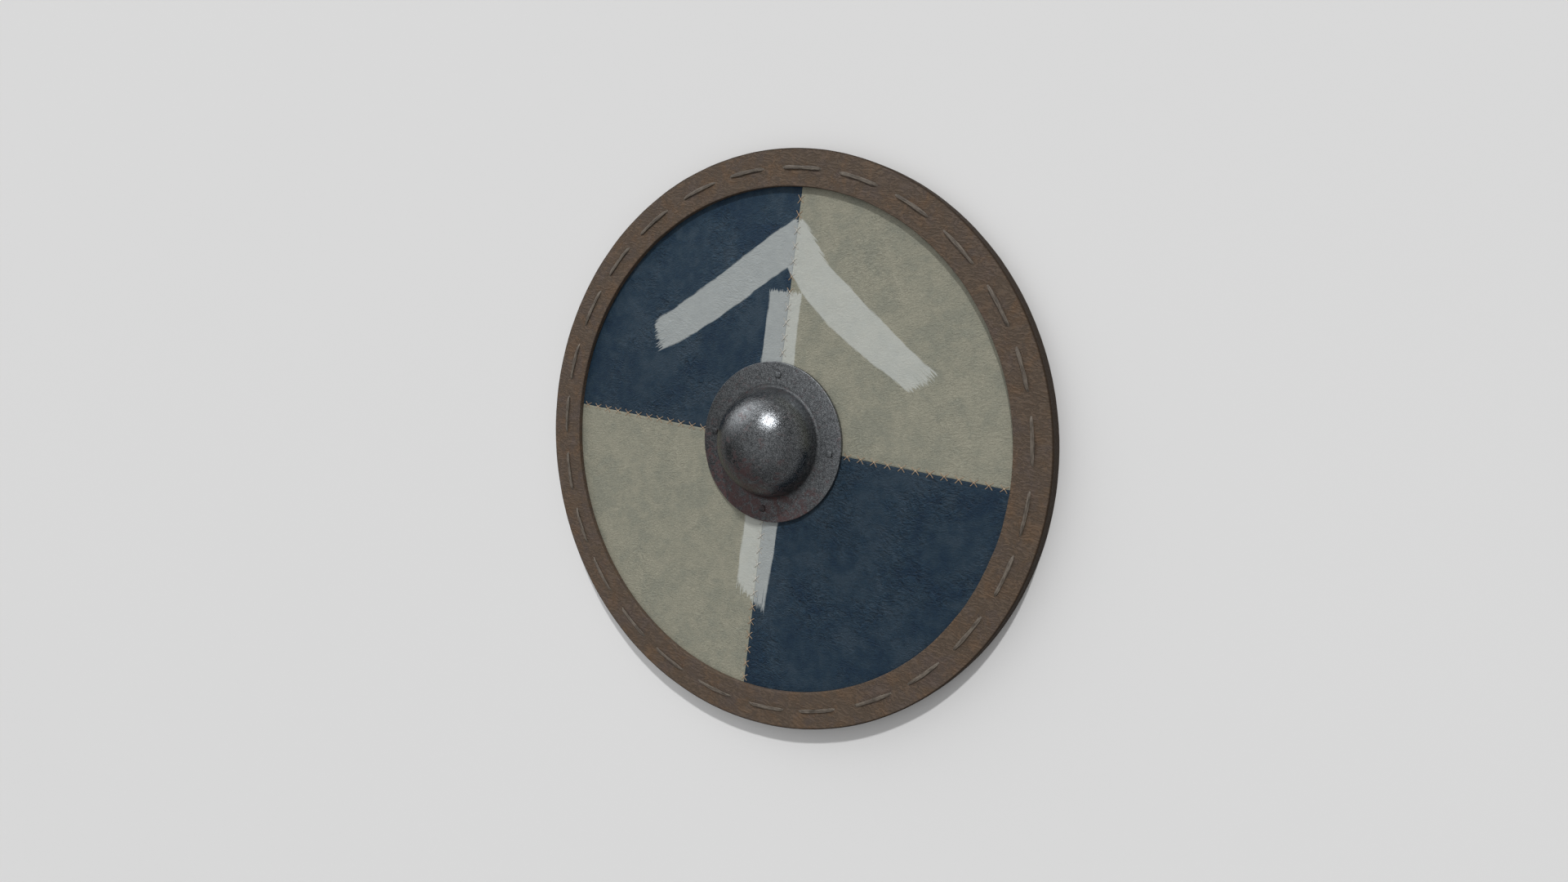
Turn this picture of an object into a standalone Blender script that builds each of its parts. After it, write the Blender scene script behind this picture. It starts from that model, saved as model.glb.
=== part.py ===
"""A round wooden shield lying face up: boards, a sewn leather face, a laced leather rim and an iron boss.

Metres, +Z up out of the face, +Y towards the top of the shield as it is carried. The origin is the
middle of the underside. Pieces that touch keep CONTACT_GAP between them.
"""

import math

import bmesh
import bpy

# The whole shield and its layers, from the floor up: back of the rim, boards, leather face, front of rim.
SHIELD_DIAMETER = 0.760
RIM_WIDTH = 0.0483
RIM_LEATHER = 0.0070
RIM_EDGE_ROUND = 0.0030
PLANK_THICKNESS = 0.0070
FACING_THICKNESS = 0.0016
CONTACT_GAP = 0.0003

# Boards. One joint lies beside the middle, and the two outer boards take what is left of the round.
PLANK_WIDTH = 0.120
MIDDLE_JOINT_X = -0.020
JOINTS_EACH_SIDE = 2
PLANK_BACK_CHAMFER = 0.0010

# Lacing: a flat thong in a running stitch through rim, face and boards.
LACING_FROM_EDGE = 0.0247
STITCH_PITCH = 0.0827
STITCH_LENGTH = 0.0560
STITCH_WANDER = 0.0022
STITCH_LENGTH_WANDER = 0.0022
THONG_WIDTH = 0.0050
THONG_THICKNESS = 0.0017
SLOT_CLEARANCE = 0.0005
GROOVE_CLEARANCE = 0.0009

# Iron boss. The boards and the leather reach in under its dome by the ledge, round the hand hole.
FLANGE_DIAMETER = 0.2128
FLANGE_THICKNESS = 0.0050
FLANGE_EDGE_ROUND = 0.0010
DOME_DIAMETER = 0.1444
DOME_HEIGHT = 0.0680
DOME_THICKNESS = 0.0025
DOME_FILLET = 0.0040
HAND_HOLE_LEDGE = 0.0102

# Square nails through the middle of the flange, riveted at the back over small square plates.
NAIL_HEAD_WIDTH = 0.0084
NAIL_HEAD_HEIGHT = 0.0016
NAIL_SHANK_WIDTH = 0.0040
NAIL_HOLE_CLEARANCE = 0.0003
HEAD_EDGE_SHARE = 0.4
HEAD_TOP_SHARE = 0.5
RIVETED_END_WIDTH = 0.0066
RIVETED_END_HEIGHT = 0.0008
BACK_PLATE_WIDTH = 0.0140
BACK_PLATE_THICKNESS = 0.0012

# Grip: one bar across the back, deep and rounded where the hand holds it.
GRIP_FLOOR_CLEARANCE = 0.0016
GRIP_HAND_WIDTH = 0.0320
GRIP_HAND_DEPTH = 0.0230
GRIP_HAND_LENGTH = 0.0900
GRIP_SHOULDER_WIDTH = 0.0340
GRIP_END_WIDTH = 0.0240
GRIP_END_CLEARANCE = 0.0050
GRIP_SHOULDER_RAMP = 0.0140
GRIP_EDGE_ROUND = 0.0012
GRIP_HAND_ROUND = 0.0080
GRIP_NAILS_EACH_SIDE = 3
GRIP_NAIL_FROM_BOSS_NAIL = 0.0310
GRIP_NAIL_FROM_END = 0.0370
GRIP_NAIL_HEAD_WIDTH = 0.0080
GRIP_NAIL_HEAD_HEIGHT = 0.0009
GRIP_NAIL_SHANK_WIDTH = 0.0030
GRIP_NAIL_TIP_COVER = 0.0015

# How finely round shapes are divided: multiples of four, so that they reach their full size both ways.
RIM_STEPS = 56
EDGE_ROUND_STEPS = 2
BOSS_STEPS = 36
DOME_OUTSIDE_STEPS = 8
DOME_INSIDE_STEPS = 6
FILLET_STEPS = 2
GRIP_END_STEPS = 3

# Heights of the layers above the floor.
PLANKS_BACK = RIM_LEATHER + CONTACT_GAP
PLANKS_FRONT = PLANKS_BACK + PLANK_THICKNESS
FACING_BACK = PLANKS_FRONT + CONTACT_GAP
FACING_FRONT = FACING_BACK + FACING_THICKNESS
FLANGE_BACK = FACING_FRONT + CONTACT_GAP
FLANGE_FRONT = FLANGE_BACK + FLANGE_THICKNESS
RIM_FRONT = FACING_FRONT + CONTACT_GAP + RIM_LEATHER

SHIELD_RADIUS = SHIELD_DIAMETER / 2
RIM_INNER_RADIUS = SHIELD_RADIUS - RIM_WIDTH
EDGE_WALL_RADIUS = SHIELD_RADIUS - RIM_LEATHER
BOARD_RADIUS = EDGE_WALL_RADIUS - CONTACT_GAP
HAND_HOLE_RADIUS = DOME_DIAMETER / 2 - HAND_HOLE_LEDGE
LACING_RADIUS = SHIELD_RADIUS - LACING_FROM_EDGE
STITCH_COUNT = round(2 * math.pi * LACING_RADIUS / STITCH_PITCH)
SLOT_RADIAL = THONG_WIDTH + 2 * SLOT_CLEARANCE
SLOT_ALONG = THONG_THICKNESS + 2 * SLOT_CLEARANCE
GROOVE_WIDTH = THONG_WIDTH + 2 * GROOVE_CLEARANCE
GROOVE_DEPTH = THONG_THICKNESS + 2 * CONTACT_GAP
NAIL_RADIUS = (FLANGE_DIAMETER + DOME_DIAMETER) / 4
GRIP_HALF_LENGTH = RIM_INNER_RADIUS - GRIP_END_CLEARANCE
GRIP_BACK = GRIP_FLOOR_CLEARANCE
GRIP_BAR_FRONT = PLANKS_BACK - CONTACT_GAP
ABOVE = 0.05
MITRE = math.radians(45)
WANDER_TURN = 2.4


def clear_scene():
    for obj in list(bpy.data.objects):
        bpy.data.objects.remove(obj, do_unlink=True)


def material(name, colour, roughness, metallic=0.0):
    made = bpy.data.materials.new(name)
    made.use_nodes = True
    shader = made.node_tree.nodes["Principled BSDF"]
    shader.inputs["Base Color"].default_value = (*colour, 1.0)
    shader.inputs["Roughness"].default_value = roughness
    shader.inputs["Metallic"].default_value = metallic
    return made


def object_from(bm, name, finish=None):
    """Makes an object of a bmesh, with its faces pointing outwards."""
    bmesh.ops.recalc_face_normals(bm, faces=bm.faces)
    mesh = bpy.data.meshes.new(name)
    bm.to_mesh(mesh)
    bm.free()
    if finish:
        mesh.materials.append(finish)
    obj = bpy.data.objects.new(name, mesh)
    bpy.context.scene.collection.objects.link(obj)
    return obj


def smooth(obj, angle=35):
    obj.data.shade_smooth()
    obj.data.set_sharp_from_angle(angle=math.radians(angle))
    return obj


def as_cutter(obj):
    obj.hide_render = True
    obj.display_type = "WIRE"
    return obj


def boolean(obj, operation, other):
    modifier = obj.modifiers.new(f"{operation.lower()} {other.name}", "BOOLEAN")
    modifier.operation = operation
    modifier.solver = "EXACT"
    modifier.object = other


def add_box(bm, low, high, turn=0.0):
    """Adds a box to a bmesh; turn swings it about the shield's axis."""
    corners = [
        (x, y, z) for z in (low[2], high[2]) for y in (low[1], high[1]) for x in (low[0], high[0])
    ]
    cos, sin = math.cos(turn), math.sin(turn)
    verts = [bm.verts.new((x * cos - y * sin, x * sin + y * cos, z)) for x, y, z in corners]
    for loop in ((0, 2, 3, 1), (4, 5, 7, 6), (0, 1, 5, 4), (2, 6, 7, 3), (0, 4, 6, 2), (1, 3, 7, 5)):
        bm.faces.new([verts[i] for i in loop])


def box(name, low, high, finish=None):
    bm = bmesh.new()
    add_box(bm, low, high)
    return object_from(bm, name, finish)


def turned(name, profile, steps, finish=None, closed=True):
    """Spins a profile of (radius, height) points about the shield's axis."""
    bm = bmesh.new()
    verts = [bm.verts.new((radius, 0.0, height)) for radius, height in profile]
    pairs = list(zip(verts, verts[1:]))
    if closed:
        pairs.append((verts[-1], verts[0]))
    edges = [bm.edges.new(pair) for pair in pairs]
    bmesh.ops.spin(
        bm, geom=verts + edges, cent=(0, 0, 0), axis=(0, 0, 1), angle=2 * math.pi, steps=steps
    )
    bmesh.ops.remove_doubles(bm, verts=bm.verts, dist=1e-6)
    bmesh.ops.dissolve_degenerate(bm, edges=bm.edges, dist=1e-6)
    return object_from(bm, name, finish)


def disc(name, radius, low, high, steps, finish=None):
    return turned(name, [(0, low), (radius, low), (radius, high), (0, high)], steps, finish, closed=False)


def arc(centre, radius, start, end, steps):
    """Points of a profile's arc, from start to end in degrees."""
    angles = [math.radians(start + (end - start) * i / steps) for i in range(steps + 1)]
    return [(centre[0] + radius * math.cos(a), centre[1] + radius * math.sin(a)) for a in angles]


def stitches():
    """(middle, half length) of each front stitch as angles from the top round, uneven as by hand."""
    pitch = 2 * math.pi / STITCH_COUNT
    made = []
    for index in range(STITCH_COUNT):
        wander = STITCH_WANDER * math.sin(WANDER_TURN * index)
        length = STITCH_LENGTH + STITCH_LENGTH_WANDER * math.cos(WANDER_TURN * index)
        middle = math.pi / 2 + index * pitch + wander / LACING_RADIUS
        made.append((middle, length / 2 / LACING_RADIUS))
    return made


def lacing_slots():
    """One slot at each end of each stitch, through the whole thickness."""
    bm = bmesh.new()
    for middle, half in stitches():
        for end in (middle - half, middle + half):
            add_box(
                bm,
                (LACING_RADIUS - SLOT_RADIAL / 2, -SLOT_ALONG / 2, -ABOVE),
                (LACING_RADIUS + SLOT_RADIAL / 2, SLOT_ALONG / 2, ABOVE),
                turn=end,
            )
    return as_cutter(object_from(bm, "cutter_lacing_slots"))


def hand_hole():
    return as_cutter(disc("cutter_hand_hole", HAND_HOLE_RADIUS, -ABOVE, ABOVE, BOSS_STEPS))


def nail_places():
    """Side of the shield, and place, of each nail through the boss."""
    return {
        "top": (0.0, NAIL_RADIUS),
        "right": (NAIL_RADIUS, 0.0),
        "bottom": (0.0, -NAIL_RADIUS),
        "left": (-NAIL_RADIUS, 0.0),
    }


def through_grip(side):
    return side in ("left", "right")


def nail_holes():
    half = NAIL_SHANK_WIDTH / 2 + NAIL_HOLE_CLEARANCE
    bm = bmesh.new()
    for x, y in nail_places().values():
        add_box(bm, (x - half, y - half, -ABOVE), (x + half, y + half, ABOVE))
    return as_cutter(object_from(bm, "cutter_nail_holes"))


def grip_nail_holes():
    half = GRIP_NAIL_SHANK_WIDTH / 2 + NAIL_HOLE_CLEARANCE
    top = PLANKS_FRONT - GRIP_NAIL_TIP_COVER + CONTACT_GAP
    bm = bmesh.new()
    for x in grip_nail_places():
        add_box(bm, (x - half, -half, -ABOVE), (x + half, half, top))
    return as_cutter(object_from(bm, "cutter_grip_nail_holes"))


def grip_nail_places():
    """X of each nail, evenly spaced on each side between the boss's nail and the grip's end."""
    first = NAIL_RADIUS + GRIP_NAIL_FROM_BOSS_NAIL
    last = GRIP_HALF_LENGTH - GRIP_NAIL_FROM_END
    step = (last - first) / (GRIP_NAILS_EACH_SIDE - 1)
    return [side * (first + step * number) for side in (-1, 1) for number in range(GRIP_NAILS_EACH_SIDE)]


def board(name, left, right, finish):
    """One straight board along Y, with the two long edges at its back chamfered."""
    eased = PLANK_BACK_CHAMFER
    section = [
        (left + eased, PLANKS_BACK),
        (right - eased, PLANKS_BACK),
        (right, PLANKS_BACK + eased),
        (right, PLANKS_FRONT),
        (left, PLANKS_FRONT),
        (left, PLANKS_BACK + eased),
    ]
    bm = bmesh.new()
    face = bm.faces.new([bm.verts.new((x, -SHIELD_RADIUS, z)) for x, z in section])
    swept = bmesh.ops.extrude_face_region(bm, geom=[face])["geom"]
    moved = [item for item in swept if isinstance(item, bmesh.types.BMVert)]
    bmesh.ops.translate(bm, verts=moved, vec=(0, 2 * SHIELD_RADIUS, 0))
    return object_from(bm, name, finish)


def build_planks(finish, cutters):
    """Boards side by side, cut round together."""
    half_joint = CONTACT_GAP / 2
    joints = [
        MIDDLE_JOINT_X + PLANK_WIDTH * step for step in range(-JOINTS_EACH_SIDE, JOINTS_EACH_SIDE + 1)
    ]
    edges = [-SHIELD_RADIUS, *joints, SHIELD_RADIUS]
    round_edge = as_cutter(disc("cutter_board_edge", BOARD_RADIUS, -ABOVE, ABOVE, RIM_STEPS))
    for number, (left, right) in enumerate(zip(edges, edges[1:]), start=1):
        plank = board(f"plank_{number}", left + half_joint, right - half_joint, finish)
        boolean(plank, "INTERSECT", round_edge)
        for cutter in cutters:
            boolean(plank, "DIFFERENCE", cutter)


def build_facing(finishes, cutters):
    """Four quarters of leather, blue and cream by turns, that meet along the upright and level seams."""
    quarters = {
        "facing_upper_left": (-1, 1, "blue"),
        "facing_upper_right": (1, 1, "cream"),
        "facing_lower_left": (-1, -1, "cream"),
        "facing_lower_right": (1, -1, "blue"),
    }
    near, far = CONTACT_GAP / 2, SHIELD_RADIUS
    for name, (side_x, side_y, colour) in quarters.items():
        xs = sorted((side_x * near, side_x * far))
        ys = sorted((side_y * near, side_y * far))
        window = as_cutter(box(f"cutter_{name}", (xs[0], ys[0], -ABOVE), (xs[1], ys[1], ABOVE)))
        quarter = disc(name, BOARD_RADIUS, FACING_BACK, FACING_FRONT, RIM_STEPS, finishes[colour])
        boolean(quarter, "INTERSECT", window)
        for cutter in cutters:
            boolean(quarter, "DIFFERENCE", cutter)


def build_rim(finish, slots):
    """Leather folded over the edge, with a groove behind where the lacing lies flush."""
    outer, inner, soft = SHIELD_RADIUS, RIM_INNER_RADIUS, RIM_EDGE_ROUND
    groove_in = LACING_RADIUS - GROOVE_WIDTH / 2
    groove_out = LACING_RADIUS + GROOVE_WIDTH / 2
    profile = [
        (inner, 0),
        (groove_in, 0),
        (groove_in, GROOVE_DEPTH),
        (groove_out, GROOVE_DEPTH),
        (groove_out, 0),
        *arc((outer - soft, soft), soft, -90, 0, EDGE_ROUND_STEPS),
        *arc((outer - soft, RIM_FRONT - soft), soft, 0, 90, EDGE_ROUND_STEPS),
        (inner, RIM_FRONT),
        (inner, RIM_FRONT - RIM_LEATHER),
        (EDGE_WALL_RADIUS, RIM_FRONT - RIM_LEATHER),
        (EDGE_WALL_RADIUS, RIM_LEATHER),
        (inner, RIM_LEATHER),
    ]
    rim = turned("rim_binding", profile, RIM_STEPS, finish)
    boolean(rim, "DIFFERENCE", slots)
    return smooth(rim)


def lacing_route():
    """(angle, height, lean) of each bend of the thong: up a slot, over the front, down, along the groove."""
    front = RIM_FRONT + CONTACT_GAP + THONG_THICKNESS / 2
    back = GROOVE_DEPTH - CONTACT_GAP - THONG_THICKNESS / 2
    route = []
    for middle, half in stitches():
        route += [
            (middle - half, back, MITRE),
            (middle - half, front, MITRE),
            (middle + half, front, -MITRE),
            (middle + half, back, -MITRE),
        ]
    return route


def build_lacing(finish):
    """The thong: a flat section carried along its route with a mitre at each bend, closed on itself."""
    # Half of the mitred section, along each leg and up.
    reach = THONG_THICKNESS / 2 / math.cos(MITRE)
    bm = bmesh.new()
    rings = []
    for angle, height, lean in lacing_route():
        outward = (math.cos(angle), math.sin(angle))
        along = (-outward[1], outward[0])
        ring = []
        for across, up in ((-1, -1), (1, -1), (1, 1), (-1, 1)):
            radius = LACING_RADIUS + across * THONG_WIDTH / 2
            slide = -up * reach * math.sin(lean)
            place = (
                outward[0] * radius + along[0] * slide,
                outward[1] * radius + along[1] * slide,
                height + up * reach * math.cos(lean),
            )
            ring.append(bm.verts.new(place))
        rings.append(ring)
    for ring, following in zip(rings, rings[1:] + rings[:1]):
        for side in range(4):
            after = (side + 1) % 4
            bm.faces.new((ring[side], following[side], following[after], ring[after]))
    return object_from(bm, "rim_lacing", finish)


def boss_profile():
    """The boss's section: flange from its back to its front, over the dome, and back down inside."""
    flange, dome = FLANGE_DIAMETER / 2, DOME_DIAMETER / 2
    ball = (dome**2 + DOME_HEIGHT**2) / (2 * DOME_HEIGHT)
    centre = FLANGE_FRONT + DOME_HEIGHT - ball
    # The fillet touches the flange's front and the ball from outside.
    fillet_height = FLANGE_FRONT + DOME_FILLET
    fillet_radius = math.sqrt((ball + DOME_FILLET) ** 2 - (fillet_height - centre) ** 2)
    lean = math.degrees(math.atan2(fillet_height - centre, fillet_radius))
    outer = [
        (flange, FLANGE_BACK),
        (flange, FLANGE_FRONT - FLANGE_EDGE_ROUND),
        (flange - FLANGE_EDGE_ROUND, FLANGE_FRONT),
        *arc((fillet_radius, fillet_height), DOME_FILLET, -90, -180 + lean, FILLET_STEPS),
        *arc((0, centre), ball, lean, 90, DOME_OUTSIDE_STEPS)[1:-1],
        (0, centre + ball),
    ]
    hollow = ball - DOME_THICKNESS
    mouth = math.degrees(math.asin((FLANGE_BACK - centre) / hollow))
    inner = [(0, centre + hollow), *arc((0, centre), hollow, 90, mouth, DOME_INSIDE_STEPS)[1:]]
    return outer + inner


def build_boss(finish, holes):
    boss = turned("boss", boss_profile(), BOSS_STEPS, finish)
    boolean(boss, "DIFFERENCE", holes)
    return smooth(boss)


def square_column(name, sections, place, finish):
    """A square solid stacked from (half width, height) sections, lowest first."""
    bm = bmesh.new()
    rings = []
    for half, height in sections:
        corners = ((-half, -half), (half, -half), (half, half), (-half, half))
        rings.append([bm.verts.new((place[0] + x, place[1] + y, height)) for x, y in corners])
    for ring, above in zip(rings, rings[1:]):
        for side in range(4):
            after = (side + 1) % 4
            bm.faces.new((ring[side], ring[after], above[after], above[side]))
    bm.faces.new(rings[0][::-1])
    bm.faces.new(rings[-1])
    return object_from(bm, name, finish)


def back_plate_front(side):
    """Height of the side of a back plate that presses on the wood: the grip's sunk seat, or the boards."""
    if through_grip(side):
        return GRIP_BACK + BACK_PLATE_THICKNESS
    return PLANKS_BACK - CONTACT_GAP


def nail_head(width, base, rise):
    """Sections of a low square head, from its flat side out; a negative rise makes one that points down."""
    half = width / 2
    return [
        (half, base),
        (half, base + HEAD_EDGE_SHARE * rise),
        (HEAD_TOP_SHARE * half, base + rise),
    ]


def back_plate(name, place, back, front, finish):
    """A square plate with a square hole for the nail."""
    outside, hole = BACK_PLATE_WIDTH / 2, NAIL_SHANK_WIDTH / 2 + NAIL_HOLE_CLEARANCE
    bm = bmesh.new()
    loops = []
    for half, height in ((outside, back), (outside, front), (hole, front), (hole, back)):
        corners = ((-half, -half), (half, -half), (half, half), (-half, half))
        loops.append([bm.verts.new((place[0] + x, place[1] + y, height)) for x, y in corners])
    for loop, following in zip(loops, loops[1:] + loops[:1]):
        for corner in range(4):
            after = (corner + 1) % 4
            bm.faces.new((loop[corner], loop[after], following[after], following[corner]))
    return object_from(bm, name, finish)


def build_boss_nails(finish):
    """Nails with low square heads, and the plates they are riveted over."""
    shank = NAIL_SHANK_WIDTH / 2
    head_back = FLANGE_FRONT + CONTACT_GAP
    for side, place in nail_places().items():
        plate_front = back_plate_front(side)
        plate_back = plate_front - BACK_PLATE_THICKNESS
        riveted = nail_head(RIVETED_END_WIDTH, plate_back - CONTACT_GAP, -RIVETED_END_HEIGHT)
        head = nail_head(NAIL_HEAD_WIDTH, head_back, NAIL_HEAD_HEIGHT)
        stem = [(shank, plate_back - CONTACT_GAP), (shank, head_back)]
        square_column(f"boss_nail_{side}", riveted[::-1] + stem + head, place, finish)
        back_plate(f"back_plate_{side}", place, plate_back, plate_front, finish)


def grip_stations():
    """(distance from the middle, half width, front height, edge round) along one half of the grip."""
    hand, shoulder, end = GRIP_HAND_WIDTH / 2, GRIP_SHOULDER_WIDTH / 2, GRIP_END_WIDTH / 2
    deep = GRIP_BACK + GRIP_HAND_DEPTH
    half_hand = GRIP_HAND_LENGTH / 2
    # The deep part ends inside the hand hole, where the bar comes down to the boards' back.
    landing = math.sqrt(HAND_HOLE_RADIUS**2 - shoulder**2) - 2 * CONTACT_GAP
    middle_round = (GRIP_HAND_ROUND + GRIP_EDGE_ROUND) / 2
    return [
        (0.0, hand, deep, GRIP_HAND_ROUND),
        (half_hand - GRIP_SHOULDER_RAMP, hand, deep, GRIP_HAND_ROUND),
        (half_hand, (hand + shoulder) / 2, (deep + GRIP_BAR_FRONT) / 2, middle_round),
        (landing, shoulder, GRIP_BAR_FRONT, GRIP_EDGE_ROUND),
        (landing + shoulder, shoulder, GRIP_BAR_FRONT, GRIP_EDGE_ROUND),
        *grip_end(end),
    ]


def grip_end(half_width):
    """The rounded end of the bar, as a half round of the bar's own width there."""
    middle = GRIP_HALF_LENGTH - half_width
    turns = [math.radians(90 * step / GRIP_END_STEPS) for step in range(GRIP_END_STEPS)]
    rounded = [(middle + half_width * math.sin(turn), half_width * math.cos(turn)) for turn in turns]
    # The last section keeps a little width, so that the end is cut off square and not to a line.
    rounded.append((GRIP_HALF_LENGTH, rounded[-1][1] / 2))
    return [(x, wide, GRIP_BAR_FRONT, GRIP_EDGE_ROUND) for x, wide in rounded]


def build_grip(finish, cutters):
    """The bar across the boards: eight-sided sections from end to end."""
    half = grip_stations()
    stations = [(-x, *rest) for x, *rest in reversed(half[1:])] + half
    bm = bmesh.new()
    rings = []
    for x, wide, front, edge in stations:
        low, high = GRIP_BACK, front
        back_edge = min(edge, (high - low) / 3, wide / 2)
        front_edge = min(edge, (high - low) / 3, wide / 2)
        outline = (
            (-wide + back_edge, low),
            (wide - back_edge, low),
            (wide, low + back_edge),
            (wide, high - front_edge),
            (wide - front_edge, high),
            (-wide + front_edge, high),
            (-wide, high - front_edge),
            (-wide, low + back_edge),
        )
        rings.append([bm.verts.new((x, y, z)) for y, z in outline])
    sides = len(rings[0])
    for ring, following in zip(rings, rings[1:]):
        for side in range(sides):
            after = (side + 1) % sides
            bm.faces.new((ring[side], ring[after], following[after], following[side]))
    bm.faces.new(rings[0][::-1])
    bm.faces.new(rings[-1])
    grip = object_from(bm, "grip", finish)
    for cutter in cutters:
        boolean(grip, "DIFFERENCE", cutter)
    return smooth(grip, 50)


def plate_seats():
    """Sunk seats in the grip's back, so that the plates there lie flush."""
    half = BACK_PLATE_WIDTH / 2 + CONTACT_GAP
    bm = bmesh.new()
    for side, (x, y) in nail_places().items():
        if through_grip(side):
            top = back_plate_front(side) + CONTACT_GAP
            add_box(bm, (x - half, y - half, -ABOVE), (x + half, y + half, top))
    return as_cutter(object_from(bm, "cutter_plate_seats"))


def build_grip_nails(finish):
    """Short nails from the back, through the grip into the boards and not out at the front."""
    shank = GRIP_NAIL_SHANK_WIDTH / 2
    head_front = GRIP_BACK - CONTACT_GAP
    tip = PLANKS_FRONT - GRIP_NAIL_TIP_COVER
    head = nail_head(GRIP_NAIL_HEAD_WIDTH, head_front, -GRIP_NAIL_HEAD_HEIGHT)
    point = [(shank, head_front), (shank, tip - GRIP_NAIL_SHANK_WIDTH), (shank / 2, tip)]
    for number, x in enumerate(grip_nail_places(), start=1):
        square_column(f"grip_nail_{number}", head[::-1] + point, (x, 0.0), finish)


def main():
    clear_scene()
    wood = material("bare_board", (0.36, 0.24, 0.14), 0.75)
    ash = material("grip_wood", (0.30, 0.18, 0.09), 0.55)
    leathers = {
        "blue": material("blue_leather", (0.025, 0.042, 0.062), 0.8),
        "cream": material("cream_leather", (0.26, 0.25, 0.19), 0.85),
    }
    brown = material("rim_leather", (0.10, 0.075, 0.055), 0.7)
    thong = material("thong", (0.16, 0.13, 0.10), 0.7)
    iron = material("forged_iron", (0.09, 0.09, 0.095), 0.45, 1.0)

    slots = lacing_slots()
    hole = hand_hole()
    nails = nail_holes()
    grip_nails = grip_nail_holes()
    build_planks(wood, [hole, slots, nails, grip_nails])
    build_facing(leathers, [hole, slots, nails])
    build_rim(brown, slots)
    build_lacing(thong)
    build_boss(iron, nails)
    build_boss_nails(iron)
    build_grip(ash, [nails, plate_seats(), grip_nails])
    build_grip_nails(iron)


main()
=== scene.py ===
import math

import bmesh
import bpy
import numpy as np
from mathutils import Matrix, Vector, noise


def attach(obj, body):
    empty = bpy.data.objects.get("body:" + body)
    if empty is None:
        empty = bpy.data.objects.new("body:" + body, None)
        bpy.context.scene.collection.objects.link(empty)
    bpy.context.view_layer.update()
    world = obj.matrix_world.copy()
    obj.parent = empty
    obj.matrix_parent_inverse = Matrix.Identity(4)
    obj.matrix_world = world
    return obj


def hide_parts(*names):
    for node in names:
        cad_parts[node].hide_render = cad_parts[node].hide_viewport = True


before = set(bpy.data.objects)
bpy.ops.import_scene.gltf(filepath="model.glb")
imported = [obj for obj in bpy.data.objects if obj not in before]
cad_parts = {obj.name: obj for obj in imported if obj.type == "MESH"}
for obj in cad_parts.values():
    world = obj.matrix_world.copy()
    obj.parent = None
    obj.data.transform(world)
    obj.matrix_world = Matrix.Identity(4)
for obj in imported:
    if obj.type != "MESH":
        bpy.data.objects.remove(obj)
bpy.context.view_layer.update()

# The layers and radii of the shield, in metres, as its solids have them.
RADIUS = 0.3800
RIM_INNER = 0.3317
RIM_LEATHER = 0.0070
RIM_FRONT = 0.0235
EDGE_WALL = 0.3730
BOARD_RADIUS = 0.3727
HAND_HOLE = 0.0620
FACING_BACK = 0.0146
FACING_FRONT = 0.0162
FLANGE_BACK = 0.0165
FLANGE_FRONT = 0.0215
FLANGE = 0.1064
DOME = 0.0722
DOME_HEIGHT = 0.0680
DOME_THICKNESS = 0.0025
DOME_FILLET = 0.0040
NAIL_RADIUS = (FLANGE + DOME) / 2
NAIL_SHANK = 0.0040
LACING_RADIUS = 0.3553
GROOVE_HALF = 0.0034
GROOVE_DEPTH = 0.0023
STITCH_COUNT = 27
THONG_WIDTH = 0.0050
THONG_THICKNESS = 0.0017
GRIP_BACK = 0.0016
GRIP_FRONT = 0.0070
GRIP_HALF_LENGTH = 0.3267
GRIP_HALF_WIDTH = 0.0170
GRIP_END = 0.0120
GRIP_NAIL_FIRST = NAIL_RADIUS + 0.0310
GRIP_NAIL_PITCH = (GRIP_HALF_LENGTH - 0.0370 - GRIP_NAIL_FIRST) / 2
# The boss nails' plates: two lie on the boards and two are let into the grip. A pair is where
# they lie, the height of their front and the place of the first.
PLATE_HALF = 0.0070
PLATE_THICKNESS = 0.0012
GRIP_PLATE_FRONT = 0.0028
PLATE_PAIRS = (
    ("boards", 0.0070, (0.0, NAIL_RADIUS, 0.0)),
    ("grip", GRIP_PLATE_FRONT, (NAIL_RADIUS, 0.0, 0.0)),
)
GRIP_NAIL_HALF = 0.0015
# The play that is left between a nail and what it passes through or holds.
PLAY = 0.0003
CUTTER_HEIGHT = 0.1

# The seams' cross stitches: distance from the shield's middle in shares of its radius.
LEVEL_STITCHES = [0.298 + 0.0501 * step for step in range(12)]
TOP_STITCHES = [0.312 + 0.0520 * step for step in range(11)]
BOTTOM_STITCHES = [0.284 + 0.0519 * step for step in range(12)]
STITCH_ACROSS = 0.0044
STITCH_ALONG = 0.0049


class Wire:
    """A value that a node gives out. Arithmetic on it adds Math nodes."""

    def __init__(self, bench, socket):
        self.bench = bench
        self.socket = socket

    def maths(self, operation, *values, clamp=False):
        sockets = dict(enumerate(values))
        return self.bench.node("ShaderNodeMath", sockets, operation=operation, use_clamp=clamp)

    def __add__(self, other):
        return self.maths("ADD", self, other)

    def __radd__(self, other):
        return self.maths("ADD", other, self)

    def __sub__(self, other):
        return self.maths("SUBTRACT", self, other)

    def __rsub__(self, other):
        return self.maths("SUBTRACT", other, self)

    def __mul__(self, other):
        return self.maths("MULTIPLY", self, other)

    def __rmul__(self, other):
        return self.maths("MULTIPLY", other, self)

    def __truediv__(self, other):
        return self.maths("DIVIDE", self, other)

    def __pow__(self, other):
        return self.maths("POWER", self, other)

    def size(self):
        return self.maths("ABSOLUTE", self)

    def held(self):
        """Kept between 0 and 1."""
        return self.maths("ADD", self, 0.0, clamp=True)

    def most(self, other):
        return self.maths("MAXIMUM", self, other)

    def past(self, edge, softness):
        """0 below the edge and 1 above it, over a soft step."""
        return self.maths("MULTIPLY_ADD", self, 1 / softness, 0.5 - edge / softness, clamp=True)


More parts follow.
